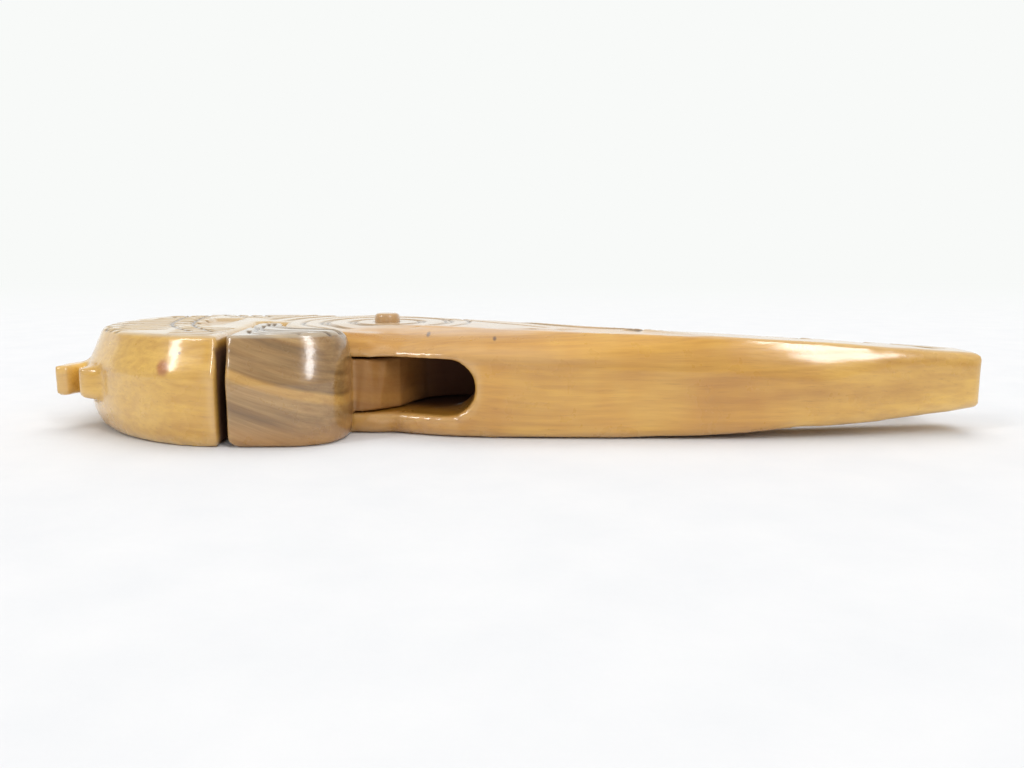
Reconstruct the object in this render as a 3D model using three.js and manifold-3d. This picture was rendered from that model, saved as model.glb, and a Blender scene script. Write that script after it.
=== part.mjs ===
// A carved wooden lever nutcracker, lying on its side.
// Millimetres, +Z up. The origin is under the middle of the object, on the surface it lies on.
// +X runs from the head to the handle ends. -Y is the side of the mouth, +Y the back of the head.
// Three pieces: the fixed main body, the lever that carries the jaw, and the dowel they turn on.
import * as THREE from "three";
import { mergeVertices } from "three/addons/utils/BufferGeometryUtils.js";
import Module from "manifold-3d";

const wasm = await Module();
wasm.setup();

// The board that both wooden pieces are cut from, and the overall outline.
const BOARD = 23.5;
const HANDLE_END_X = 105.5;
const TAB_TIP_X = -105.5;
const HEAD_SIDE_Y = 33.8;
const CURVE_STEPS = 4;
const SPARE = 8;

// How far each edge is rounded, inwards in plan and along the height. The arm's rise is on a board-high blank.
const HEAD_EDGES = { upper: { inset: 3.4, rise: 5.2, steps: 4 }, lower: { inset: 1.5, rise: 3, steps: 3 } };
const HANDLE_EDGES = { upper: { inset: 2, rise: 2.6, steps: 3 }, lower: { inset: 1.8, rise: 2.2, steps: 2 } };
const ARM_EDGE = { inset: 3, rise: 6, steps: 4 };

// How much thinner than the board the far end of the handle and the front of the head are, on each side.
const HANDLE_THINNING = { from: 18, upper: { amount: 5.2, power: 1.45 }, lower: { amount: 5.8, power: 1.8 } };
const HEAD_THINNING = { from: -76, upper: 0.4, lower: 1.6 };

// The pivot.
const PIVOT = { x: -31.3, y: 5.5 };
const PIN_RADIUS = 3.1;
const PIN_TOP = 25.7;
const PIN_BASE = 0.25;
const PIN_CHAMFER = 0.6;
const BODY_BORE = PIN_RADIUS + 0.12;
const LEVER_BORE = PIN_RADIUS + 0.18;

// The knuckle is the round end of the cheeks that the jaw swings around.
const KNUCKLE_RADIUS = 25;
const KNUCKLE_CLEARANCE = 0.6;
const HUB_RADIUS = 11;

// The slot through the cheeks, and the tenon that moves in it.
const SLOT_FLOOR = 4.8;
const SLOT_ROOF = 17.5;
const SLOT_END_X = -8;
const SLOT_END_RADIUS = 6.3;
const TENON_FLOOR = 5.2;
const TENON_ROOF = 16.9;

// The mouth: two flat faces with a narrow gap that tapers inwards.
const HEAD_FACE = { frontX: -61.9, backX: -63.8 };
const JAW_FACE = { frontX: -60, backX: -62.7 };
const MOUTH_BACK_Y = 5.2;
const JAW_TIP_Y = 2.2;
const JAW_CORNER = 1.4;

// The arm of the lever runs out of the slot and thickens into the rear handle.
const ARM = { start: -12, near: 3.8, far: 16.8, end: 103.6, floor: 5.4, roof: 18.3, tipDrop: 1.6 };

const v2 = (x, y) => new THREE.Vector2(x, y);

function smoothStep(from, to, x) {
  const t = Math.min(Math.max((x - from) / (to - from), 0), 1);
  return t * t * (3 - 2 * t);
}

function handleThinning(x, { amount, power }) {
  const { from } = HANDLE_THINNING;
  return amount * Math.pow(Math.max(x - from, 0) / (HANDLE_END_X - from), power);
}

function headThinning(x) {
  return Math.pow(Math.max(HEAD_THINNING.from - x, 0) / (HEAD_THINNING.from - TAB_TIP_X), 2);
}

const bodyFloor = (x) => handleThinning(x, HANDLE_THINNING.lower) + HEAD_THINNING.lower * headThinning(x);
const bodyRoof = (x) =>
  BOARD - handleThinning(x, HANDLE_THINNING.upper) - HEAD_THINNING.upper * headThinning(x);
const armFloor = (x) => TENON_FLOOR + (ARM.floor - TENON_FLOOR) * smoothStep(8, 30, x);
const armRoof = (x) =>
  TENON_ROOF + (ARM.roof - TENON_ROOF) * smoothStep(6, 30, x) - ARM.tipDrop * smoothStep(84, ARM.end, x);

// Moves each vertex of a BOARD-high blank to the floor and roof that hold at its x.
function setHeights(geometry, floorAt, roofAt) {
  const place = geometry.attributes.position;
  for (let i = 0; i < place.count; i += 1) {
    const floor = floorAt(place.getX(i));
    const roof = roofAt(place.getX(i));
    place.setZ(i, floor + (place.getZ(i) / BOARD) * (roof - floor));
  }
  return geometry;
}

// The outline from low to high, with its two edges rounded by inset in plan and by rise in height.
function roundedSlab(shape, edge, low, high) {
  const geometry = new THREE.ExtrudeGeometry(shape, {
    depth: high - low - 2 * edge.rise,
    curveSegments: CURVE_STEPS,
    bevelThickness: edge.rise,
    bevelSize: edge.inset,
    bevelOffset: -edge.inset,
    bevelSegments: edge.steps,
  });
  return geometry.translate(0, 0, low + edge.rise);
}

// A board-high solid of the outline, its upper and lower edges rounded differently, thinned at both ends.
function shapedBlank(shape, edges) {
  const upper = setHeights(roundedSlab(shape, edges.upper, -SPARE, BOARD), bodyFloor, bodyRoof);
  const lower = setHeights(roundedSlab(shape, edges.lower, 0, BOARD + SPARE), bodyFloor, bodyRoof);
  return solid(upper).intersect(solid(lower));
}

// A plain slab between two heights.
function slab(shape, floor, roof) {
  const depth = roof - floor;
  const geometry = new THREE.ExtrudeGeometry(shape, { depth, curveSegments: CURVE_STEPS * 2, bevelEnabled: false });
  return geometry.translate(0, 0, floor);
}

function post(radius, floor, roof, segments) {
  const geometry = new THREE.CylinderGeometry(radius, radius, roof - floor, segments);
  return geometry.rotateX(Math.PI / 2).translate(PIVOT.x, PIVOT.y, (roof + floor) / 2);
}

function solid(geometry) {
  const bare = new THREE.BufferGeometry();
  bare.setAttribute("position", geometry.attributes.position);
  if (geometry.index) bare.setIndex(geometry.index);
  const merged = mergeVertices(bare, 1e-4);
  const vertProperties = new Float32Array(merged.attributes.position.array);
  const triVerts = new Uint32Array(merged.index.array);
  return new wasm.Manifold(new wasm.Mesh({ numProp: 3, vertProperties, triVerts }));
}

function namedMesh(name, body, color, roughness) {
  const made = body.getMesh();
  const geometry = new THREE.BufferGeometry();
  geometry.setAttribute("position", new THREE.BufferAttribute(made.vertProperties, 3));
  geometry.setIndex(new THREE.BufferAttribute(made.triVerts, 1));
  geometry.computeVertexNormals();
  const mesh = new THREE.Mesh(geometry, new THREE.MeshStandardMaterial({ color, roughness }));
  mesh.name = name;
  return mesh;
}

// Plan outline of the head and the jaw together: both are cut from this one rounded blank.
function headOutline() {
  const shape = new THREE.Shape();
  shape.moveTo(-36, -19.5);
  shape.splineThru([v2(-36.2, -24.5), v2(-38.6, -29.8), v2(-44.6, -33.2), v2(-51, -HEAD_SIDE_Y)]);
  shape.lineTo(-64, -HEAD_SIDE_Y);
  shape.splineThru([
    v2(-72, -32.4),
    v2(-80, -28.8),
    v2(-88, -23.4),
    v2(-95, -16.2),
    v2(-99.6, -9),
    v2(-102.6, 0),
    v2(-103.6, 9),
    v2(-102.4, 18),
    v2(-98.6, 26),
    v2(-92.5, 31.4),
    v2(-84, HEAD_SIDE_Y),
  ]);
  shape.lineTo(-62, HEAD_SIDE_Y);
  shape.splineThru([v2(-53, 32.6), v2(-46, 29), v2(-40, 22)]);
  shape.lineTo(-36, 10);
  shape.closePath();
  return shape;
}

// Plan outline of the cheeks and the fixed handle.
function bodyOutline() {
  const shape = new THREE.Shape();
  const start = THREE.MathUtils.degToRad(180);
  const end = THREE.MathUtils.degToRad(281);
  shape.absarc(PIVOT.x, PIVOT.y, KNUCKLE_RADIUS, start, end, false);
  shape.splineThru([
    v2(-21.6, -21),
    v2(-15, -23.2),
    v2(-6, -24.6),
    v2(6, -25.2),
    v2(26, -25.6),
    v2(47, -26),
    v2(62, -25.4),
    v2(78, -23.4),
    v2(98, -20),
  ]);
  shape.lineTo(HANDLE_END_X, -18.5);
  shape.lineTo(HANDLE_END_X, -5.2);
  shape.lineTo(98, -6.3);
  shape.splineThru([
    v2(84, -8.6),
    v2(66, -11.2),
    v2(50, -11.8),
    v2(38, -10.6),
    v2(28, -7.4),
    v2(18, -1.6),
    v2(6, 6.4),
    v2(-8, 15),
    v2(-20, 22.4),
    v2(-29, 28.2),
    v2(-37, 30.9),
    v2(-45, 29.6),
    v2(-52, 22),
  ]);
  shape.closePath();
  return shape;
}

// The small hooked tab: a block close to the mouth side, a deep notch, and a hook that reaches further out.
function tabOutline() {
  const shape = new THREE.Shape();
  shape.moveTo(-88, -20);
  shape.lineTo(-96.6, -19.6);
  shape.lineTo(-98, -18.4);
  shape.splineThru([v2(-98.3, -14), v2(-99, -11.4), v2(-100.4, -11), v2(-101.3, -12.6), v2(-101.7, -15.4)]);
  shape.lineTo(-104.6, -15.6);
  shape.lineTo(TAB_TIP_X, -13.4);
  shape.splineThru([v2(-105, -9.6), v2(-103.4, -5.6), v2(-101.5, -3)]);
  shape.lineTo(-90, -2);
  shape.closePath();
  return shape;
}

// The jaw fills everything on its side of the mouth, as far in as the shoulder that rides around the knuckle.
function jawRegion() {
  const shoulder = KNUCKLE_RADIUS + KNUCKLE_CLEARANCE;
  const tip = Math.PI + Math.asin((PIVOT.y - JAW_TIP_Y) / shoulder);
  const front = -HEAD_SIDE_Y;
  const shape = new THREE.Shape();
  shape.moveTo(JAW_FACE.backX, JAW_TIP_Y - 1.2);
  shape.lineTo(JAW_FACE.frontX, front + JAW_CORNER);
  shape.quadraticCurveTo(JAW_FACE.frontX, front, JAW_FACE.frontX + JAW_CORNER, front);
  shape.lineTo(JAW_FACE.frontX + JAW_CORNER, front - SPARE);
  shape.lineTo(-20, front - SPARE);
  shape.lineTo(-20, PIVOT.y - shoulder - 3);
  shape.lineTo(PIVOT.x, PIVOT.y - shoulder);
  shape.absarc(PIVOT.x, PIVOT.y, shoulder, 1.5 * Math.PI, tip, true);
  shape.lineTo(JAW_FACE.backX + 1.2, JAW_TIP_Y);
  shape.closePath();
  return shape;
}

// The pocket in the head that the jaw fills: from the head's flat mouth face round to the knuckle.
function pocketOutline() {
  const start = Math.PI + Math.asin((PIVOT.y - MOUTH_BACK_Y) / KNUCKLE_RADIUS);
  const front = -HEAD_SIDE_Y;
  const shape = new THREE.Shape();
  shape.moveTo(HEAD_FACE.frontX, front - SPARE);
  shape.lineTo(-20, front - SPARE);
  shape.lineTo(-20, PIVOT.y - KNUCKLE_RADIUS);
  shape.lineTo(PIVOT.x, PIVOT.y - KNUCKLE_RADIUS);
  shape.absarc(PIVOT.x, PIVOT.y, KNUCKLE_RADIUS, 1.5 * Math.PI, start, true);
  shape.lineTo(HEAD_FACE.backX, MOUTH_BACK_Y);
  shape.lineTo(HEAD_FACE.frontX, front);
  shape.closePath();
  return shape;
}

// Plan of the slot: the space that the hub and the arm sweep, open to the jaw and to the back.
function slotOutline() {
  const shape = new THREE.Shape();
  shape.moveTo(-60, MOUTH_BACK_Y);
  shape.lineTo(-60, -40);
  shape.lineTo(-15, -40);
  shape.lineTo(-15, -10);
  shape.lineTo(-8, -4);
  shape.lineTo(20, -2.4);
  shape.lineTo(30, 10);
  shape.lineTo(-14, 32);
  shape.lineTo(-37.4, 16.6);
  shape.quadraticCurveTo(-43.6, 13, -45, 7.6);
  shape.lineTo(-56, MOUTH_BACK_Y);
  shape.closePath();
  return shape;
}

// The slot's mouth on the side of the main body ends in a rounded end, drilled across.
function slotMouth() {
  const shape = new THREE.Shape();
  const high = SLOT_ROOF - SLOT_END_RADIUS;
  const low = SLOT_FLOOR + SLOT_END_RADIUS;
  const x = SLOT_END_X - SLOT_END_RADIUS;
  shape.moveTo(-40, SLOT_FLOOR);
  shape.lineTo(x, SLOT_FLOOR);
  shape.absarc(x, low, SLOT_END_RADIUS, 1.5 * Math.PI, 2 * Math.PI, false);
  shape.absarc(x, high, SLOT_END_RADIUS, 0, 0.5 * Math.PI, false);
  shape.lineTo(-40, SLOT_ROOF);
  shape.closePath();
  const geometry = new THREE.ExtrudeGeometry(shape, { depth: 40, curveSegments: CURVE_STEPS, bevelEnabled: false });
  return geometry.rotateX(Math.PI / 2);
}

function mainBody() {
  const head = shapedBlank(headOutline(), HEAD_EDGES);
  const handle = shapedBlank(bodyOutline(), HANDLE_EDGES);
  const pocket = solid(slab(pocketOutline(), -SPARE, BOARD + SPARE));
  const tab = solid(slab(tabOutline(), 8, 15));
  const slot = solid(slab(slotOutline(), SLOT_FLOOR, SLOT_ROOF));
  const mouth = solid(slotMouth());
  const bore = solid(post(BODY_BORE, -SPARE, BOARD + SPARE, 32));
  return head.subtract(pocket).add(handle).add(tab).subtract(slot).subtract(mouth).subtract(bore);
}

// Plan of the tenon: the web that holds the jaw, the hub around the pin, and the root of the arm.
function tenonOutline() {
  const shape = new THREE.Shape();
  shape.moveTo(PIVOT.x - 0.4, PIVOT.y - KNUCKLE_RADIUS + 0.5);
  shape.lineTo(-26, -13);
  shape.lineTo(-23.4, -7);
  shape.lineTo(-20.6, -1.6);
  shape.splineThru([v2(-16, 1.2), v2(-9.6, 2.6), v2(-4, 3.2)]);
  shape.lineTo(-4, ARM.far - 0.4);
  shape.lineTo(PIVOT.x, PIVOT.y + HUB_RADIUS);
  shape.absarc(PIVOT.x, PIVOT.y, HUB_RADIUS, 0.5 * Math.PI, Math.PI, false);
  shape.lineTo(-57, 0.6);
  shape.lineTo(-57, -10);
  shape.lineTo(-44, -21);
  shape.closePath();
  return shape;
}

function armOutline() {
  const half = (ARM.far - ARM.near) / 2;
  const shape = new THREE.Shape();
  shape.moveTo(ARM.start, ARM.near - 1.4);
  shape.lineTo(0, ARM.near - 0.4);
  shape.lineTo(16, ARM.near);
  shape.lineTo(70, ARM.near);
  shape.lineTo(ARM.end - half, ARM.near + 0.6);
  shape.absarc(ARM.end - half, ARM.near + half, half - 0.6, 1.5 * Math.PI, 2.5 * Math.PI, false);
  shape.lineTo(70, ARM.far);
  shape.lineTo(16, ARM.far);
  shape.lineTo(ARM.start, ARM.far - 0.4);
  shape.closePath();
  return shape;
}

function lever() {
  const blank = shapedBlank(headOutline(), HEAD_EDGES);
  const jaw = blank.intersect(solid(slab(jawRegion(), -SPARE, BOARD + SPARE)));
  const tenon = solid(slab(tenonOutline(), TENON_FLOOR, TENON_ROOF));
  const arm = solid(setHeights(roundedSlab(armOutline(), ARM_EDGE, 0, BOARD), armFloor, armRoof));
  const bore = solid(post(LEVER_BORE, -SPARE, BOARD + SPARE, 32));
  return jaw.add(tenon).add(arm).subtract(bore);
}

function pivotPin() {
  const top = PIN_TOP - PIN_CHAMFER;
  const profile = [
    v2(0, PIN_BASE),
    v2(PIN_RADIUS, PIN_BASE),
    v2(PIN_RADIUS, top),
    v2(PIN_RADIUS - PIN_CHAMFER, PIN_TOP),
    v2(0, PIN_TOP),
  ];
  const geometry = new THREE.LatheGeometry(profile, 32).rotateX(Math.PI / 2);
  return solid(geometry.translate(PIVOT.x, PIVOT.y, 0));
}

const nutcracker = new THREE.Group();
nutcracker.add(namedMesh("main_body", mainBody(), 0xb98a45, 0.35));
nutcracker.add(namedMesh("lever", lever(), 0x6b5238, 0.35));
nutcracker.add(namedMesh("pivot_pin", pivotPin(), 0xb4854a, 0.4));

export default nutcracker;
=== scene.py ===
"""Wooden lever nutcracker, lying on its side: looks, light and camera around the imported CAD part.

Shapes are worked out in millimetres in the CAD frame and written back in metres.
Each CAD node is replaced by a fine mesh of itself that is then carved, rounded and worn.
"""

import math

import bmesh
import bpy
import numpy as np
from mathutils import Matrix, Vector
from mathutils.kdtree import KDTree


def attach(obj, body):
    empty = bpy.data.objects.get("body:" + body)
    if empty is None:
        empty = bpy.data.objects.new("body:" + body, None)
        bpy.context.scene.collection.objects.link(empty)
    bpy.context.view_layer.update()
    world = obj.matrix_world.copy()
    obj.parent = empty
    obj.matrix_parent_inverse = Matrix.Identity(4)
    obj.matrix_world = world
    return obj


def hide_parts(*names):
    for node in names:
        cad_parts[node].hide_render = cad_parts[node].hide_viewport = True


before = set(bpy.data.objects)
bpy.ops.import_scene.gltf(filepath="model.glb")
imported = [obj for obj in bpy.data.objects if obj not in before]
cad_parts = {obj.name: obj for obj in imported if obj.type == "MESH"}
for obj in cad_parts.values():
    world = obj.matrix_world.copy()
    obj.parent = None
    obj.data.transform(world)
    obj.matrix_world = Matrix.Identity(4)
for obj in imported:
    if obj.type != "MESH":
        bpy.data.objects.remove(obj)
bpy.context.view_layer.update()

MM = 0.001
PIVOT = np.array([-31.3, 5.5])
BOARD = 23.5  # thickness
SLOT_FLOOR = 4.8
SLOT_ROOF = 17.5
THINNING_FROM, THINNING_LENGTH = 18, 87.5  # the part of the handle that gets thinner, along x
HANDLE_END = 105.7
GROOVE_DEPTH = 0.42
GROOVE_HALF_WIDTH = 0.8


# ---------------------------------------------------------------- small maths


def smooth_step(low, high, value):
    t = np.clip((value - low) / (high - low), 0, 1)
    return t * t * (3 - 2 * t)


def handle_thinning(x, amount, power):
    return amount * (np.maximum(x - THINNING_FROM, 0) / THINNING_LENGTH) ** power


def head_thinning(x):
    return (np.maximum(-76 - x, 0) / 29.5) ** 2


def roof(x):
    """Height of the upper side face of the board."""
    return BOARD - handle_thinning(x, 5.2, 1.45) - 0.4 * head_thinning(x)


def floor_level(x):
    """Height of the lower side face of the board."""
    return handle_thinning(x, 5.8, 1.8) + 1.6 * head_thinning(x)


def spline(*points, steps=14):
    """Smooth curve through the points."""
    p = np.array(points, float)
    p = np.vstack([2 * p[0] - p[1], p, 2 * p[-1] - p[-2]])
    t = np.linspace(0, 1, steps, endpoint=False)[:, None]
    out = []
    for a, b, c, d in zip(p[:-3], p[1:-2], p[2:-1], p[3:]):
        out.append(
            0.5
            * (
                2 * b
                + (c - a) * t
                + (2 * a - 5 * b + 4 * c - d) * t**2
                + (3 * b - 3 * c + d - a) * t**3
            )
        )
    out.append(p[-2:-1])
    return np.vstack(out)


def arc(radius, start_deg, end_deg, steps=90):
    """Arc about the pin."""
    a = np.radians(np.linspace(start_deg, end_deg, steps))
    return np.column_stack([PIVOT[0] + radius * np.cos(a), PIVOT[1] + radius * np.sin(a)])


def line_distance(points, line):
    """Plan distance of each point from a polyline."""
    best = np.full(len(points), 1e9)
    for a, b in zip(line[:-1], line[1:]):
        ab = b - a
        t = np.clip(((points - a) @ ab) / max(ab @ ab, 1e-12), 0, 1)
        best = np.minimum(best, np.hypot(*(points - a - t[:, None] * ab).T))
    return best


# ---------------------------------------------------------------- fine meshes


def fine_mesh(node, voxel):
    """An even, closed mesh of a CAD node."""
    bm = bmesh.new()
    bm.from_mesh(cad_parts[node].data)
    bmesh.ops.remove_doubles(bm, verts=bm.verts, dist=1e-6)
    mesh = bpy.data.meshes.new("draft")
    bm.to_mesh(mesh)
    bm.free()
    draft = bpy.data.objects.new("draft", mesh)
    bpy.context.scene.collection.objects.link(draft)
    remesh = draft.modifiers.new("fine", "REMESH")
    remesh.mode = "VOXEL"
    remesh.voxel_size = voxel * MM
    remesh.adaptivity = 0
    graph = bpy.context.evaluated_depsgraph_get()
    fine = bpy.data.meshes.new_from_object(draft.evaluated_get(graph))
    bpy.data.objects.remove(draft)
    return fine


def get_points(mesh):
    p = np.zeros(len(mesh.vertices) * 3, np.float32)
    mesh.vertices.foreach_get("co", p)
    return p.reshape(-1, 3).astype(float) / MM


def set_points(mesh, points):
    mesh.vertices.foreach_set("co", (points * MM).astype(np.float32).ravel())
    mesh.update()


def get_normals(mesh):
    n = np.zeros(len(mesh.vertices) * 3, np.float32)
    mesh.vertex_normals.foreach_get("vector", n)
    return n.reshape(-1, 3).astype(float)


def neighbour_mean(mesh, values):
    e = np.zeros(len(mesh.edges) * 2, np.int32)
    mesh.edges.foreach_get("vertices", e)
    e = e.reshape(-1, 2)
    count = np.bincount(e.ravel(), minlength=len(mesh.vertices)).astype(float)
    out = np.zeros_like(values)
    for k in range(values.shape[1]):
        out[:, k] = np.bincount(e[:, 0], values[e[:, 1], k], len(mesh.vertices))
        out[:, k] += np.bincount(e[:, 1], values[e[:, 0], k], len(mesh.vertices))
    return out / np.maximum(count, 1)[:, None]


def relax(mesh, points, rounds):
    for _ in range(rounds):
        points = points + (neighbour_mean(mesh, points) - points) * 0.5
    return points


def refine(mesh, near):
    """Splits the faces where near, given per vertex, is true."""
    bm = bmesh.new()
    bm.from_mesh(mesh)
    bm.verts.ensure_lookup_table()
    chosen = {e for f in bm.faces if any(near[v.index] for v in f.verts) for e in f.edges}
    bmesh.ops.subdivide_edges(bm, edges=list(chosen), cuts=1, use_grid_fill=True)
    bm.to_mesh(mesh)
    bm.free()


class Outline:
    """The smooth plan outline of a CAD node at one level, with distances measured inwards."""

    def __init__(self, node, level, keep=None):
        bm = bmesh.new()
        bm.from_mesh(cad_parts[node].data)
        bmesh.ops.remove_doubles(bm, verts=bm.verts, dist=1e-6)
        geom = bm.verts[:] + bm.edges[:] + bm.faces[:]
        cut = bmesh.ops.bisect_plane(
            bm, geom=geom, dist=1e-7, plane_co=(0, 0, level * MM), plane_no=(0, 0, 1)
        )["geom_cut"]
        links = {}
        for e in cut:
            if isinstance(e, bmesh.types.BMEdge):
                a, b = e.verts
                links.setdefault(a, []).append(b)
                links.setdefault(b, []).append(a)
        loops = []
        while links:
            here = next(iter(links))
            loop = []
            while here in links:
                loop.append((here.co.x / MM, here.co.y / MM))
                onward = [v for v in links.pop(here) if v in links]
                if not onward:
                    break
                here = onward[0]
            loops.append(np.array(loop))
        bm.free()
        points, inward = [], []
        for loop in loops:
            around = sum(self.holds(other, loop[0]) for other in loops if other is not loop)
            if (self.area(loop) > 0) == bool(around % 2):
                loop = loop[::-1]
            p, n = self.smoothed(self.thinned(loop))
            points.append(p)
            inward.append(n)
        self.points = np.vstack(points)
        self.inward = np.vstack(inward)
        if keep:
            kept = keep(self.points, self.inward)
            self.points, self.inward = self.points[kept], self.inward[kept]
        self.tree = KDTree(len(self.points))
        for i, p in enumerate(self.points):
            self.tree.insert((p[0], p[1], 0), i)
        self.tree.balance()

    @staticmethod
    def area(p):
        q = np.roll(p, -1, axis=0)
        return 0.5 * np.sum(p[:, 0] * q[:, 1] - q[:, 0] * p[:, 1])

    @staticmethod
    def holds(p, point):
        """Whether a closed line goes round a point."""
        q = np.roll(p, -1, axis=0)
        crosses = (p[:, 1] > point[1]) != (q[:, 1] > point[1])
        at = p[:, 0] + (point[1] - p[:, 1]) * (q[:, 0] - p[:, 0]) / np.where(crosses, q[:, 1] - p[:, 1], 1)
        return bool(np.sum(crosses & (at > point[0])) % 2)

    @staticmethod
    def thinned(p):
        """Leaves out points in the middle of straight runs and doubled points."""
        keep = []
        for a, b, c in zip(np.roll(p, 1, axis=0), p, np.roll(p, -1, axis=0)):
            u, v = b - a, c - b
            if np.hypot(*u) < 0.05:
                continue
            turn = abs(u[0] * v[1] - u[1] * v[0]) / (np.hypot(*u) * np.hypot(*v) + 1e-9)
            if turn > 0.002 or u @ v < 0:
                keep.append(b)
        return np.array(keep)

    @staticmethod
    def smoothed(p):
        """Dense points and inward normals; corners over 24 degrees stay sharp."""
        n = len(p)
        step = np.roll(p, -1, axis=0) - p
        length = np.hypot(*step.T)
        way = step / length[:, None]
        before = np.roll(way, 1, axis=0)
        corner = np.sum(way * before, axis=1) < math.cos(math.radians(24))
        tangent = way * np.roll(length, 1)[:, None] + before * length[:, None]
        tangent /= np.hypot(*tangent.T)[:, None]
        points, normals = [], []
        for i in range(n):
            j = (i + 1) % n
            t0 = way[i] if corner[i] else tangent[i]
            t1 = way[i] if corner[j] else tangent[j]
            count = max(2, int(length[i] / 0.3))
            t = np.linspace(0, 1, count, endpoint=False)[:, None]
            a, b = p[i], p[j]
            pos = (
                (2 * t**3 - 3 * t**2 + 1) * a
                + (t**3 - 2 * t**2 + t) * t0 * length[i]
                + (3 * t**2 - 2 * t**3) * b
                + (t**3 - t**2) * t1 * length[i]
            )
            d = t0 * (1 - t) + t1 * t
            d /= np.hypot(*d.T)[:, None]
            points.append(pos)
            normals.append(np.column_stack([-d[:, 1], d[:, 0]]))
        return np.vstack(points), np.vstack(normals)

    def measure(self, points):
        """Depth inside the outline and the inward direction, for each point."""
        found = np.array([self.tree.find((x, y, 0))[1] for x, y in points[:, :2]])
        inward = self.inward[found]
        depth = np.sum((points[:, :2] - self.points[found]) * inward, axis=1)
        return depth, inward


def shoulder(points, depth, inward, low, across, up, side=1):
    """Rounds the edge between a wall and the face above it (side 1) or below it (side -1).
    The quarter ellipse starts at height low on the wall and ends across further in."""
    rise = side * (points[:, 2] - low)
    q = np.column_stack([(across - depth) / across, rise / up])
    inside = (q[:, 0] > 0) & (q[:, 1] > 0)
    rho = np.where(inside, np.maximum(np.hypot(q[:, 0], q[:, 1]), 1), 1)
    shift = (across - depth) * (1 - 1 / rho)
    out = points.copy()
    out[:, :2] += inward * np.where(inside, shift, 0)[:, None]
    out[:, 2] -= np.where(inside, side * rise * (1 - 1 / rho), 0)
    return out


def hand_work(points, normals, size):
    """The slow unevenness that a knife and sandpaper leave."""
    x, y, z = points.T
    wave = np.sin(x / 4.7 + 1.3 * np.sin(z / 6.1) + 0.4) * np.sin(z / 3.9 + x / 11.3 + 2.1)
    wave += 0.8 * np.sin(x / 8.9 + y / 5.3 + 1.1) * np.sin(z / 7.7 - x / 17.0)
    wave += 0.5 * np.sin(x / 2.3 + z / 3.1) * np.sin(y / 2.9 - z / 4.3 + 0.7)
    return points + normals * (wave * size)[:, None]


def store(mesh, name, values):
    layer = mesh.attributes.get(name) or mesh.attributes.new(name, "FLOAT", "POINT")
    layer.data.foreach_set("value", values.astype(np.float32))


def edge_wear_and_sheen(mesh, points):
    """1 on convex edges, 0 on flat faces; the material paints these edges paler, partly as wear and partly as
    painted sheen.
    """
    normals = get_normals(mesh)
    bend = -np.sum((neighbour_mean(mesh, points) - points) * normals, axis=1)
    for _ in range(3):
        bend = 0.5 * bend + 0.5 * neighbour_mean(mesh, bend[:, None])[:, 0]
    return smooth_step(0.01, 0.07, bend)


def piece(mesh, name, node, body, material):
    mesh.name = name
    for polygon in mesh.polygons:
        polygon.use_smooth = True
    mesh.materials.clear()
    mesh.materials.append(material)
    obj = bpy.data.objects.new(name, mesh)
    bpy.context.scene.collection.objects.link(obj)
    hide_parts(node)
    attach(obj, body)
    return obj


# ---------------------------------------------------------------- carved lines


def leaf(x, y, length, width, angle):
    """Outline and midrib of a leaf whose stem starts at x, y."""
    a = math.radians(angle)
    along, across = np.array([math.cos(a), math.sin(a)]), np.array([-math.sin(a), math.cos(a)])
    base = np.array([x, y])
    lines = []
    for side in (-1, 1):
        lines.append(
            spline(
                base,
                base + along * length * 0.3 + across * side * width * 0.48,
                base + along * length * 0.68 + across * side * width * 0.36,
                base + along * length,
                steps=7,
            )
        )
    lines.append(np.array([base, base + along * length * 0.8]))
    return lines


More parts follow.
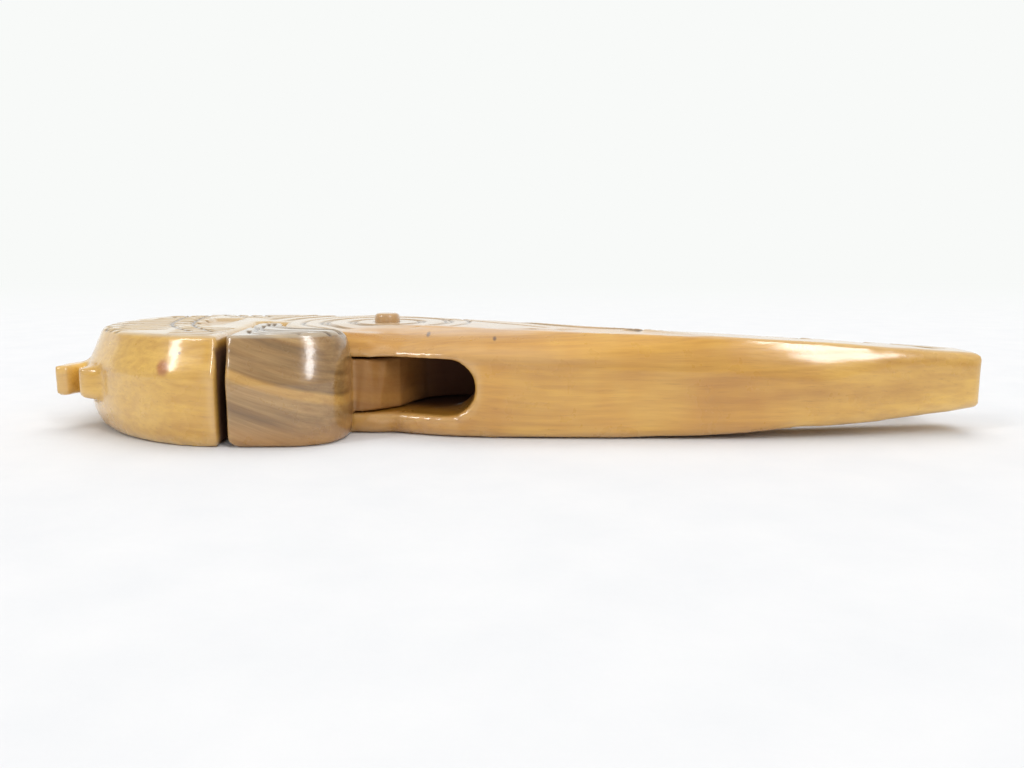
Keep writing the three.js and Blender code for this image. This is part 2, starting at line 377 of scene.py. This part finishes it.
def body_lines():
    # rings around the pin, in pairs, running on over the back of the head
    lines = [arc(r, 0, 360) for r in (8.0, 9.3, 14.8, 16.2, 20.6)]
    behind = ((25.6, 96, 172), (26.9, 98, 172), (31.2, 106, 168), (32.5, 108, 168))
    lines += [arc(r, start, end) for r, start, end in behind]
    # band across the head
    for shift in (-2.6, 2.6):
        lines.append(spline((-69 + shift, -20), (-77 + shift, -8), (-82.6 + shift, 6), (-87 + shift, 30)))
    for k in range(9):
        y = -17 + k * 5
        x = -70.5 - 0.42 * (y + 17) + 0.0012 * (y + 17) ** 2
        lines.append(np.array([(x - 2.2, y - 1.2), (x + 2.2, y + 1.6)]))
    # long locks swept over the crown, in pairs that meet at their tips
    for k in range(9):
        y = -17 + 5.4 * k
        lean = 0.16 * (y - 4)
        tip = (-78.6 - 0.25 * k, y + 1.5)
        lines.append(spline((-99 + 0.02 * (y - 4) ** 2, y - lean), (-93, y - 1.6), (-85, y - 0.2), tip))
        lines.append(spline((-96 + 0.02 * (y - 4) ** 2, y + 1.4 - lean), (-91, y + 1.8), (-85, y + 2.4), tip))
    # the same behind the pin, along the back of the head
    for k in range(4):
        y = 29.5 - 3.6 * k
        lines.append(spline((-75, y + 1.5), (-70, y + 0.6 * (k % 2)), (-64, y - 0.8), (-59.5 - k, y - 1.5)))
    # strokes between the band and the mouth
    for k in range(6):
        y = -27 + 3.2 * k
        lines.append(spline((-64.5, y - 1.5), (-69, y), (-73.5 - 0.6 * k, y + 0.4)))
    for x0, y0, x1, y1 in ((-74, 20, -80, 29), (-71, 20, -77, 30), (-68, 21, -74, 31), (-65, 22, -70, 31)):
        lines.append(spline((x0, y0), ((x0 + x1) / 2 - 1, (y0 + y1) / 2 + 1.2), (x1, y1)))
    # vine along the handle
    vine = [(-5 + 7.5 * k, -12.5 + 3.0 * math.sin(1.25 * k + 0.6) + 0.2 * k) for k in range(15)]
    vine = [(x, min(y, -10)) for x, y in vine]
    lines.append(spline(*vine))
    for k, (x, y) in enumerate(vine[1:-1]):
        side = 1 if k % 2 else -1
        lines += leaf(x, y, 6.4 - 0.12 * k, 3.2 - 0.06 * k, 28 * side)
    lines.append(spline((-14, 18), (-4, 11), (6, 3), (17, -5), (28, -10)))
    lines.append(spline((-16, 13), (-8, 8), (0, 2), (8, -6)))
    return lines


def lever_lines():
    lines = [arc(r, 192, 262) for r in (27.4, 28.7, 32.6)]
    lines.append(spline((-59, -6), (-57, -15), (-52, -23), (-44, -27.6)))
    lines.append(spline((-58.8, -12), (-56.6, -20.5), (-51.5, -26.6), (-45, -29)))
    lines.append(spline((-58.6, -19), (-56.4, -25), (-52.6, -28.6)))
    lines.append(spline((4, 12), (20, 11.5), (36, 6.5), (52, 9.5), (70, 6.8), (86, 8.8), (97, 8)))
    lines.append(spline((10, 7.8), (28, 8.6), (44, 5.8), (60, 8.4), (78, 5.6), (94, 7)))
    return lines


def groove_depth(points, lines):
    """The cut of the lines, 0 to 1, and the distance from them."""
    best = np.full(len(points), 1e9)
    for line in lines:
        low, high = line.min(0) - 2.5, line.max(0) + 2.5
        near = np.all((points[:, :2] > low) & (points[:, :2] < high), axis=1)
        best[near] = np.minimum(best[near], line_distance(points[near, :2], line))
    t = np.clip(best / GROOVE_HALF_WIDTH, 0, 1)
    return (1 - t * t) ** 2, best


# ---------------------------------------------------------------- the three pieces


def round_corner(points, u, v, along_u, along_v, radius, where=True):
    """Rounds the edge where two surfaces meet; u and v are depths under them along the inward directions."""
    near = (u < radius) & (v < radius) & (u > -0.6) & (v > -0.6) & where
    q = np.hypot((radius - u) / radius, (radius - v) / radius)
    share = np.where(near, 1 - 1 / np.maximum(q, 1), 0)
    return (
        points
        + ((radius - u) * share)[:, None] * np.asarray(along_u, float)
        + ((radius - v) * share)[:, None] * np.asarray(along_v, float)
    )


def relax_near(mesh, points, mask, rounds):
    """Softens the mesh where mask, 0 to 1, says."""
    for _ in range(rounds):
        points = points + (neighbour_mean(mesh, points) - points) * (0.5 * mask)[:, None]
    return points


def ball(points, centre, radii):
    """1 at centre, 0 outside an ellipsoid."""
    reach = np.sqrt((((points - np.array(centre)) / np.array(radii)) ** 2).sum(axis=1))
    return smooth_step(1.0, 0.6, reach)


def course(x, *stops):
    """A value that changes smoothly along x, from (x, value) stops."""
    at, value = zip(*stops)
    return sum(np.interp(x + d, at, value) for d in (-6, -3, 0, 3, 6)) / 5


def head_inset(z, slope_from=15.0, amount=3.7):
    """How far the side of the head and the jaw lies behind the CAD's side, near the upper face."""
    wanted = amount * np.clip((z - slope_from) / (BOARD - slope_from), 0, 1) ** 1.2
    rise = np.clip((z - 18.3) / 5.2, 0, 1)
    return np.maximum(wanted - 3.4 * (1 - np.sqrt(1 - rise * rise)), 0)


def draw_in(points, depth, inward, amount, where, reach=8.0):
    """Moves the wall inwards, and the material behind it less and less."""
    share = np.clip(1 - depth / reach, 0, 1) * (depth > -0.5) * where
    out = points.copy()
    out[:, :2] += inward * (amount * share)[:, None]
    return out


def edge_course(x):
    """How far in from the front wall the upper side face begins."""
    cheek = ((-40, 15), (-17, 16), (2, 15.5), (20, 9.7), (30, 6.6))
    handle = ((41, 3.4), (54, 2.4), (70, 2.4), (82, 1.1), (92, 0.9), (105, 0.8))
    return course(x, *cheek, *handle)


def fold_course(x):
    """Height on the front wall where it starts to lean back."""
    cheek = ((-40, 17.4), (-8, 17.4), (6, 16.6), (22, 15.6))
    handle = ((40, 14.6), (56, 12.2), (70, 11.2), (76, 13), (82, 15.6), (92, 15.6), (105, 14))
    return course(x, *cheek, *handle)


def front_depth(points):
    """Depth behind the front wall of the cheeks and the handle."""

    def front(p, n):
        return (n[:, 1] > 0.25) & (p[:, 1] < 0) & (p[:, 0] > -44)

    upper = Outline("main_body", SLOT_ROOF + 0.1, front)
    middle = Outline("main_body", 11.5, lambda p, n: front(p, n) & (p[:, 0] > 0) & (p[:, 1] < -15))
    depth_low, inward_low = upper.measure(points)
    depth_high, inward_high = middle.measure(points)
    far = smooth_step(22, 34, points[:, 0])
    inward = inward_low * (1 - far)[:, None] + inward_high * far[:, None]
    return depth_low * (1 - far) + depth_high * far, inward


def make_body():
    mesh = fine_mesh("main_body", 0.88)
    points = relax(mesh, get_points(mesh), 2)

    # head: nearly straight sloping side under a crisp upper edge, and a full round underneath
    fold = 8.5
    outer = Outline("main_body", SLOT_ROOF + 0.1, lambda p, n: (p[:, 0] < -61) & (n[:, 0] > -0.9))
    depth, inward = outer.measure(points)
    head = (points[:, 0] < -61) & (depth > -0.4)
    points = draw_in(points, depth, inward, head_inset(points[:, 2]), head)
    depth, inward = outer.measure(points)
    across = course(points[:, 0], (-104, 4.4), (-90, 3.8), (-76, 2.7), (-62, 1.3))
    rounded = shoulder(points, depth, inward, fold, across, fold, side=-1)
    points += (rounded - points) * (head & (points[:, 2] < fold))[:, None]

    # the front wall leans back into the upper side face, very broadly over the slot
    depth, inward = front_depth(points)
    x = points[:, 0]
    low = fold_course(x)
    # rounded right over on the cheeks, and cut off by a crisp edge on the handle
    stretch = course(x, (-40, 1.138), (30, 1.138), (56, 2.0), (105, 2.0))
    across = edge_course(x) / (1 - np.sqrt(1 - 1 / stretch**2))
    rounded = shoulder(points, depth, inward, low, across, (roof(x) - low) * stretch)
    where = smooth_step(-44, -37, x) * (depth < edge_course(x) + 1.5) * (depth > -0.5) * (points[:, 1] < 3)
    shift = (rounded - points) * where[:, None]
    # beside the jaw the rounding runs out gradually into the flat top
    soft = shift
    for _ in range(16):
        soft = neighbour_mean(mesh, soft)
    fade = smooth_step(-29, -34, x) * smooth_step(17.8, 19.5, points[:, 2])
    points += shift + (soft - shift) * fade[:, None]

    # a shallow hollow under the handle
    x = points[:, 0]
    lift = 0.65 * np.exp(-(((x - 62) / 8) ** 2)) * smooth_step(5, 0, points[:, 2] - floor_level(x))
    points[:, 2] += lift

    # free end of the handle
    points[:, 0] = np.minimum(points[:, 0] + 0.9 * smooth_step(92, 103, points[:, 0]), HANDLE_END)
    x, y, z = points.T
    end = HANDLE_END - x
    points = round_corner(points, end, roof(x) - z, (-1, 0, 0), (0, 0, -1), 1.1)
    points = round_corner(points, end, z - floor_level(x), (-1, 0, 0), (0, 0, 1), 1.0)
    points = round_corner(points, end, y + 18.5 + 0.2 * end, (-1, 0, 0), (0, 1, 0), 0.4)
    points = round_corner(points, end, -5.2 - 0.147 * end - y, (-1, 0, 0), (0, -1, 0), 0.8)

    # the hooked tab, softened, and a level upper face with a flat round the pin
    points = relax_near(mesh, points, ball(points, (-97, -11, 11.5), (7.5, 14, 6)), 3)
    set_points(mesh, points)
    normals = get_normals(mesh)
    from_pin = np.hypot(points[:, 0] - PIVOT[0], points[:, 1] - PIVOT[1])
    below = roof(points[:, 0]) - points[:, 2]
    flat = smooth_step(0.32, 0.06, np.abs(below)) * smooth_step(0.95, 0.99, normals[:, 2])
    collar = (from_pin > 3.2) & (from_pin < 4.6) & (normals[:, 2] > 0.2) & (below < 1.4)
    points[:, 2] += below * np.maximum(flat, collar)
    set_points(mesh, points)

    lines = body_lines()
    for reach in (1.2, 0.66):
        _, away = groove_depth(points, lines)
        normals = get_normals(mesh)
        refine(mesh, (normals[:, 2] > 0.9) & (points[:, 2] > SLOT_ROOF - 1) & (away < reach))
        points = get_points(mesh)
    normals = get_normals(mesh)
    depth, _ = front_depth(points)
    height = smooth_step(0.7, 0.25, roof(points[:, 0]) - points[:, 2])
    top = height * (normals[:, 2] > 0.3)
    inside = smooth_step(-1.5, 2.5, depth - edge_course(points[:, 0]))
    # beside the jaw the front wall's outline stops, and the distance to the back bounds the pale upper face,
    # which is partly bare wood and partly painted sheen
    beside_jaw = smooth_step(-20, -32, points[:, 0]) * smooth_step(-17, -9, points[:, 1])
    inside = np.maximum(inside, beside_jaw)
    on_cheek = smooth_step(-48, -36, points[:, 0])
    top *= inside * on_cheek + 1 - on_cheek
    cut, _ = groove_depth(points, lines)
    cut *= top
    patch = smooth_step(0, 0.9, 4.2 - np.abs(points[:, 0] + 74.2))
    patch *= smooth_step(0, 0.9, 9.5 - np.abs(points[:, 1] - 7.0)) * top
    points = hand_work(points, normals, 0.05)
    points[:, 2] -= GROOVE_DEPTH * cut + 0.6 * patch
    set_points(mesh, points)

    # painted shade in the slot, but not on the outside of the back wall, and on the face of the mouth
    x, y, z = points.T
    in_slot = (z > SLOT_FLOOR - 0.5) & (z < SLOT_ROOF + 0.5) & (x < -7.5) & (x > -58)
    upper_part = smooth_step(5.5, 9, z)
    hollow_shade = in_slot * smooth_step(-15 - 5 * upper_part, -3 - 13 * upper_part, y)
    spoke = points[:, :2] - PIVOT
    spoke /= np.maximum(np.hypot(*spoke.T), 1e-6)[:, None]
    normals = get_normals(mesh)
    outwards = np.sum(normals[:, :2] * spoke, axis=1)
    hollow_shade *= 1 - smooth_step(0.15, 0.45, outwards)
    mouth = (np.abs(x + 62.8) < 1.6) * (y < 6.5) * smooth_step(0.5, 0.85, normals[:, 0])
    hollow_shade = np.maximum(hollow_shade, mouth * smooth_step(0.6, 2.2, np.minimum(y + 33.0, 22.4 - z)))
    store(mesh, "groove", cut)
    store(mesh, "patch", 0.4 * patch)
    # upper marks the faces painted paler: partly bare wood, partly painted sheen
    store(mesh, "upper", top)
    store(mesh, "hollow_shade", hollow_shade)
    store(mesh, "wear_and_sheen", edge_wear_and_sheen(mesh, points))
    return mesh


def make_lever():
    mesh = fine_mesh("lever", 0.5)
    points = relax(mesh, get_points(mesh), 2)
    outer = Outline("lever", 17.1, lambda p, n: (p[:, 0] < -37) & (p[:, 1] < -17) & (n[:, 1] > 0.6))
    depth, _ = outer.measure(points)
    jaw = smooth_step(-34, -38, points[:, 0]) * (points[:, 1] < -8)
    points = draw_in(points, depth, np.array([[0.0, 1.0]]), head_inset(points[:, 2], 13.5, 3.6), jaw)
    # its upper side face rises a little away from the mouth
    x, z = points[:, 0], points[:, 2]
    points[:, 2] += 0.45 * smooth_step(-60, -42, x) * smooth_step(14, 22, z) * (x < -20)

    # corners of the jaw beside the mouth
    x, y, z = points.T
    into_jaw = x + 60 + 2.7 * (y + 32.4) / 33.4
    points = round_corner(points, into_jaw, z, (1, 0, 0), (0, 0, 1), 3.2, y < -12)
    points = round_corner(points, into_jaw, BOARD - z, (1, 0, 0), (0, 0, -1), 0.8, y < -5)

    # knife cuts down the tenon, and its edge where it turns into the slot
    cuts = np.abs(np.sin(0.75 * points[:, 0] + 0.5 * np.sin(0.3 * points[:, 2])))
    tenon = (points[:, 0] > -36.5) & (points[:, 0] < -9) & (points[:, 2] < SLOT_ROOF)
    points[:, 1] += 0.45 * cuts * tenon * smooth_step(0, -4, points[:, 1])
    points = relax_near(mesh, points, ball(points, (-29, -18.9, 10.8), (7, 7, 9)), 4)

    set_points(mesh, points)
    lines = lever_lines()
    for reach in (1.2, 0.7):
        _, away = groove_depth(points, lines)
        normals = get_normals(mesh)
        carved = (points[:, 0] < -36) | (points[:, 0] > 2)
        refine(mesh, (normals[:, 2] > 0.9) & carved & (away < reach))
        points = get_points(mesh)
    normals = get_normals(mesh)
    height = smooth_step(0.7, 0.25, BOARD - points[:, 2]) * (normals[:, 2] > 0.3)
    shown = smooth_step(0.3, 0.9, normals[:, 2]) * (points[:, 2] < BOARD - 0.7)
    top = np.maximum(height, shown) * ((points[:, 0] < -36) | (points[:, 0] > 2))
    cut, _ = groove_depth(points, lines)
    cut *= top
    points = hand_work(points, normals, 0.05)
    points[:, 2] -= GROOVE_DEPTH * cut
    set_points(mesh, points)
    x, y, z = points.T
    # painted shade on the face of the mouth and on the tenon deep in the slot; patch gives the part in the
    # slot a darker orange tint
    mouth = (x < -57) & (y < 6.5)
    hollow_shade = mouth * smooth_step(1.2, 2.8, np.minimum(y + 33.0, 22.4 - z)) * smooth_step(-57.5, -58.6, x)
    in_slot = smooth_step(-37.5, -34.5, x) * (x < 2) * (y < 4.5) * (z < SLOT_ROOF + 0.3)
    hollow_shade = np.maximum(hollow_shade, in_slot * smooth_step(-9, 2, y))
    store(mesh, "groove", cut)
    store(mesh, "patch", in_slot)
    store(mesh, "upper", top)
    store(mesh, "hollow_shade", hollow_shade)
    store(mesh, "wear_and_sheen", edge_wear_and_sheen(mesh, points))
    return mesh


def make_pin():
    mesh = fine_mesh("pivot_pin", 0.3)
    points = relax(mesh, get_points(mesh), 3)
    set_points(mesh, points)
    points = hand_work(points, get_normals(mesh), 0.03)
    set_points(mesh, points)
    for name, level in (("groove", 0.0), ("patch", 0.0), ("hollow_shade", 0.0), ("upper", 0.6)):
        store(mesh, name, np.full(len(points), level))
    store(mesh, "wear_and_sheen", edge_wear_and_sheen(mesh, points))
    return mesh


# ---------------------------------------------------------------- materials


def graph(name):
    """A new material, its shader and a function that adds nodes to it."""
    material = bpy.data.materials.new(name)
    material.use_nodes = True
    tree = material.node_tree
    shader = tree.nodes["Principled BSDF"]

    def add(kind, inputs=(), out=0, **settings):
        node = tree.nodes.new(kind)
        for key, value in settings.items():
            setattr(node, key, value)
        for key, value in dict(inputs).items():
            socket = node.inputs[key]
            if isinstance(value, bpy.types.NodeSocket):
                tree.links.new(value, socket)
            else:
                socket.default_value = value
        return node.outputs[out]

    def link(value, key):
        tree.links.new(value, shader.inputs[key])

    return material, shader, add, link


def linear(*rgb):
    """A display colour, 0 to 255, as linear values."""
    values = [c / 255 for c in rgb]
    return tuple(c / 12.92 if c <= 0.04045 else ((c + 0.055) / 1.055) ** 2.4 for c in values) + (1.0,)


def math_node(add, operation, a, b=0.0, c=0.0):
    return add("ShaderNodeMath", {0: a, 1: b, 2: c}, operation=operation)


def ramp(add, value, *stops):
    """A colour ramp from (position, colour) stops."""
    node = add("ShaderNodeValToRGB", {0: value}).node
    elements = node.color_ramp.elements
    while len(elements) < len(stops):
        elements.new(0.5)
    for element, (position, colour) in zip(elements, stops):
        element.position = position
        element.color = colour if len(colour) == 4 else (*colour, 1)
    return node.outputs[0]


def mix(add, factor, a, b, blend="MIX"):
    node = add("ShaderNodeMix", {0: factor, 6: a, 7: b}, data_type="RGBA", blend_type=blend).node
    return node.outputs[2]


def attribute(add, name):
    return add("ShaderNodeAttribute", out=2, attribute_name=name)


def noise(add, vector, scale, detail=3.0, rough=0.55):
    return add(
        "ShaderNodeTexNoise",
        {"Vector": vector, "Scale": scale, "Detail": detail, "Roughness": rough},
    )


def stretched(add, vector, x, y, z):
    return add("ShaderNodeVectorMath", {0: vector, 1: (x, y, z)}, operation="MULTIPLY")


def near_point(add, vector, centre, reach, soft):
    """1 near a point in the wood, 0 away from it; reach in metres per axis."""
    offset = add("ShaderNodeVectorMath", {0: vector, 1: centre}, operation="SUBTRACT")
    scaled = add("ShaderNodeVectorMath", {0: offset, 1: tuple(1 / r for r in reach)}, operation="MULTIPLY")
    length = add("ShaderNodeVectorMath", {0: scaled}, out=1, operation="LENGTH")
    return add(
        "ShaderNodeMapRange",
        {0: length, 1: 1.0, 2: 1.0 - soft, 3: 0.0, 4: 1.0},
        interpolation_type="SMOOTHSTEP",
    )


def wood(name, streaked):
    """Varnished wood with its grain along x; streaked is the dark heartwood."""
    material, shader, add, link = graph(name)
    position = add("ShaderNodeTexCoord", out=3)
    sway = noise(add, stretched(add, position, 14, 30, 30), 1.0, 2.0)
    sway = math_node(add, "MULTIPLY_ADD", sway, 0.006, -0.003)
    x, y, z = (add("ShaderNodeSeparateXYZ", {0: position}, out=k) for k in range(3))
    if streaked:
        # the streaks sink from the mouth towards the pin and then run straight
        u = math_node(add, "ADD", x, 0.046)
        u = math_node(add, "MINIMUM", u, 0.03)
        u = math_node(add, "MAXIMUM", u, -0.02)
        square = math_node(add, "MULTIPLY", u, u)
        line = math_node(add, "MULTIPLY_ADD", u, -0.296, 0.01158)
        line = math_node(add, "MULTIPLY_ADD", square, 4.9, line)
        height = math_node(add, "SUBTRACT", z, line)
    else:
        height = z
    height = math_node(add, "ADD", height, sway)
    along = add("ShaderNodeCombineXYZ", {0: x, 1: y, 2: height})
    fibre = noise(add, stretched(add, along, 45, 900, 900), 1.0, 4.0, 0.6)
    fine = noise(add, stretched(add, along, 160, 3200, 3200), 1.0, 2.0, 0.6)
    broad = noise(add, stretched(add, along, 16, 60, 150), 1.0, 3.0)
    cloud = noise(add, stretched(add, position, 42, 22, 26), 1.0, 3.0)
    if streaked:
        streak = noise(add, stretched(add, along, 18, 70, 330), 1.0, 5.0, 0.62)
        base = ramp(
            add,
            streak,
            (0.30, linear(120, 92, 56)),
            (0.44, linear(146, 113, 68)),
            (0.56, linear(171, 135, 84)),
            (0.72, linear(194, 158, 102)),
        )
        from_band = math_node(add, "ABSOLUTE", height)
        band = add("ShaderNodeMapRange", {0: from_band, 1: 0.0016, 2: 0.0007, 3: 0.0, 4: 1.0})
        base = mix(add, math_node(add, "MULTIPLY", band, 0.9), base, linear(202, 158, 86))
        low = add("ShaderNodeMapRange", {0: z, 1: 0.006, 2: 0.001, 3: 0.0, 4: 0.6})
        base = mix(add, low, base, linear(196, 142, 70))
    else:
        base = ramp(
            add,
            cloud,
            (0.25, linear(198, 143, 50)),
            (0.5, linear(209, 154, 57)),
            (0.75, linear(219, 171, 74)),
        )
        # painted light: the wood is made paler towards the head and the handle's end, where more light falls
        off_middle = math_node(add, "ABSOLUTE", math_node(add, "SUBTRACT", x, 0.012))
        painted_light_on_ends = add("ShaderNodeMapRange", {0: off_middle, 1: 0.042, 2: 0.085, 3: 0.0, 4: 0.75})
        base = mix(add, painted_light_on_ends, base, linear(227, 184, 84))
        shade = ramp(add, broad, (0.3, linear(214, 196, 176)), (0.6, linear(255, 255, 255)))
        base = mix(add, 0.7, base, shade, "MULTIPLY")
        knot = near_point(add, position, (-0.0733, -0.031, 0.0168), (0.0021, 0.006, 0.0023), 0.6)
        base = mix(add, math_node(add, "MULTIPLY", knot, 0.8), base, linear(168, 92, 38))
        for px, py, pz, size in ((-3.9, -17, 21.6, 0.6), (-19.2, -12, 22.1, 0.7), (-69.8, -31.5, 19.9, 0.5)):
            pit = near_point(add, position, (px * MM, py * MM, pz * MM), (size * MM, 0.007, size * MM), 0.7)
            base = mix(add, math_node(add, "MULTIPLY", pit, 0.8), base, linear(70, 34, 12))
    tone = ramp(add, fibre, (0.3, linear(226, 212, 196)), (0.62, linear(255, 255, 255)))
    base = mix(add, 0.75, base, tone, "MULTIPLY")
    pores = ramp(add, fine, (0.60, (1, 1, 1)), (0.74, linear(186, 160, 132)))
    base = mix(add, 0.3, base, pores, "MULTIPLY")
    # darker colour in the cut lines, painted shade inside slot and mouth, pale edges that are partly rubbed
    # wear and partly painted sheen, and pale upper faces that are partly bare wood and partly painted sheen
    base = mix(add, math_node(add, "MULTIPLY", attribute(add, "wear_and_sheen"), 0.25), base, linear(232, 200, 150))
    base = mix(add, math_node(add, "MULTIPLY", attribute(add, "upper"), 0.5), base, linear(196, 186, 166))
    base = mix(add, math_node(add, "MULTIPLY", attribute(add, "patch"), 0.75), base, linear(150, 98, 34))
    base = mix(add, math_node(add, "MULTIPLY", attribute(add, "groove"), 0.9), base, linear(74, 52, 34))
    base = mix(add, math_node(add, "MULTIPLY", attribute(add, "hollow_shade"), 0.92), base, linear(84, 50, 36))
    link(base, "Base Color")
    unpolished = math_node(add, "MULTIPLY", attribute(add, "patch"), 0.8)
    unpolished = math_node(add, "MAXIMUM", unpolished, attribute(add, "hollow_shade"))
    polish = noise(add, position, 170.0, 4.0)
    rough = add("ShaderNodeMapRange", {0: polish, 1: 0.3, 2: 0.7, 3: 0.24, 4: 0.38})
    dull = math_node(add, "MULTIPLY_ADD", unpolished, 0.55, rough)
    link(dull, "Roughness")
    ripple = noise(add, stretched(add, position, 190, 190, 760), 1.0, 3.0)
    bump_height = math_node(add, "MULTIPLY_ADD", fine, 0.25, fibre)
    bump_height = math_node(add, "MULTIPLY_ADD", ripple, 0.9, bump_height)
    bump = add("ShaderNodeBump", {"Height": bump_height, "Strength": 0.4, "Distance": 0.00014})
    link(bump, "Normal")
    shader.inputs["IOR"].default_value = 1.5
    gloss = math_node(add, "SUBTRACT", 1.0, unpolished)
    link(math_node(add, "MULTIPLY", gloss, 0.9), "Coat Weight")
    shader.inputs["Coat Roughness"].default_value = 0.14
    shader.inputs["Coat IOR"].default_value = 1.65
    return material


# ---------------------------------------------------------------- build

BLOND = wood("blond_varnished_wood", False)
DARK = wood("streaked_varnished_wood", True)
DOWEL = wood("dowel_wood", False)

piece(make_body(), "carved_body", "main_body", "body", BLOND)
piece(make_lever(), "carved_lever", "lever", "lever_arm", DARK)
piece(make_pin(), "carved_pin", "pivot_pin", "body", DOWEL)


# ---------------------------------------------------------------- stage


PAPER_Y = 3.4
PAPER_GLOW = (0.94, 0.955, 0.94, 1)


def stage_piece(name, corners, faces, material):
    mesh = bpy.data.meshes.new(name)
    mesh.from_pydata(corners, [], faces)
    mesh.materials.append(material)
    obj = bpy.data.objects.new(name, mesh)
    bpy.context.scene.collection.objects.link(obj)
    return obj


def table_cloth():
    material, shader, add, link = graph("table_cloth")
    position = add("ShaderNodeTexCoord", out=3)
    tone = noise(add, position, 60.0, 4.0)
    pale = ramp(add, tone, (0.3, (0.70, 0.705, 0.715)), (0.7, (0.73, 0.73, 0.735)))
    # the paper glows far behind the object, so that no horizon shows
    y = add("ShaderNodeSeparateXYZ", {0: position}, out=1)
    fade = {0: y, 1: 0.06, 2: 0.9, 3: 0.0, 4: 1.0}
    far = add("ShaderNodeMapRange", fade, interpolation_type="SMOOTHSTEP")
    link(mix(add, far, pale, (0, 0, 0, 1)), "Base Color")
    link(far, "Emission Strength")
    shader.inputs["Emission Color"].default_value = PAPER_GLOW
    weave = noise(add, position, 420.0, 3.0)
    link(add("ShaderNodeBump", {"Height": weave, "Strength": 0.2, "Distance": 0.0004}), "Normal")
    shader.inputs["Roughness"].default_value = 1.0
    shader.inputs["Specular IOR Level"].default_value = 0.0
    return material


def lit_paper(name):
    material, shader, _, _ = graph(name)
    shader.inputs["Base Color"].default_value = (0, 0, 0, 1)
    shader.inputs["Roughness"].default_value = 1.0
    shader.inputs["Specular IOR Level"].default_value = 0.0
    shader.inputs["Emission Color"].default_value = PAPER_GLOW
    shader.inputs["Emission Strength"].default_value = 1.0
    return material


floor = [(-16, -12, 0), (16, -12, 0), (16, PAPER_Y, 0), (-16, PAPER_Y, 0)]
stage_piece("table", floor, [(0, 1, 2, 3)], table_cloth())
behind = [(-16, PAPER_Y, 0), (16, PAPER_Y, 0), (16, PAPER_Y, 2.2), (-16, PAPER_Y, 2.2)]
stage_piece("backdrop", behind, [(0, 1, 2, 3)], lit_paper("lit_paper"))
# paper on the other three sides closes the view and doesn't light the object
low = [(-5, PAPER_Y, 0), (-5, -4, 0), (5, -4, 0), (5, PAPER_Y, 0)]
high = [(x, y, 5) for x, y, _ in low]
sides = [(k, k + 1, k + 5, k + 4) for k in range(3)]
surround = stage_piece("surround", low + high, sides, lit_paper("surround_paper"))
surround.visible_diffuse = surround.visible_glossy = surround.visible_shadow = False

world = bpy.data.worlds.new("studio")
world.use_nodes = True
world.node_tree.nodes["Background"].inputs[0].default_value = (1, 1, 1, 1)
world.node_tree.nodes["Background"].inputs[1].default_value = 0.47
bpy.context.scene.world = world


def soft_sun(name, azimuth, elevation, width, radiance):
    """A round soft light far away. Azimuth 0 is on the camera's side, and 90 is at +X."""
    a, e = math.radians(azimuth), math.radians(elevation)
    towards = Vector((math.sin(a) * math.cos(e), -math.cos(a) * math.cos(e), math.sin(e)))
    data = bpy.data.lights.new(name, "SUN")
    data.angle = math.radians(width)
    data.energy = radiance * math.pi * math.radians(width / 2) ** 2
    light = bpy.data.objects.new(name, data)
    light.rotation_euler = towards.to_track_quat("Z", "Y").to_euler()
    bpy.context.scene.collection.objects.link(light)
    return light


WINDOW_WIDTH, WINDOW_RADIANCE = 11.5, 12
for elevation in (24, 36, 48):
    soft_sun(f"right_window_{elevation}", 38, elevation, WINDOW_WIDTH, WINDOW_RADIANCE)
for name, elevation in (("left_window_low", 30), ("left_window_high", 42)):
    soft_sun(name, -57, elevation, WINDOW_WIDTH, WINDOW_RADIANCE)
soft_sun("top_fill", 165, 74, 50, 2.7).visible_glossy = False

CAMERA_HEIGHT, CAMERA_BACK, CAMERA_DOWN = 0.0409, 0.208, 8.85
camera_data = bpy.data.cameras.new("camera")
camera_data.sensor_width = 36
camera_data.lens = 29.88
camera_data.clip_start = 0.005
camera = bpy.data.objects.new("camera", camera_data)
camera.location = (0, -CAMERA_BACK, CAMERA_HEIGHT)
camera.rotation_euler = (math.radians(90 - CAMERA_DOWN), 0, 0)
bpy.context.scene.collection.objects.link(camera)
bpy.context.scene.camera = camera
bpy.context.scene.view_settings.view_transform = "Standard"
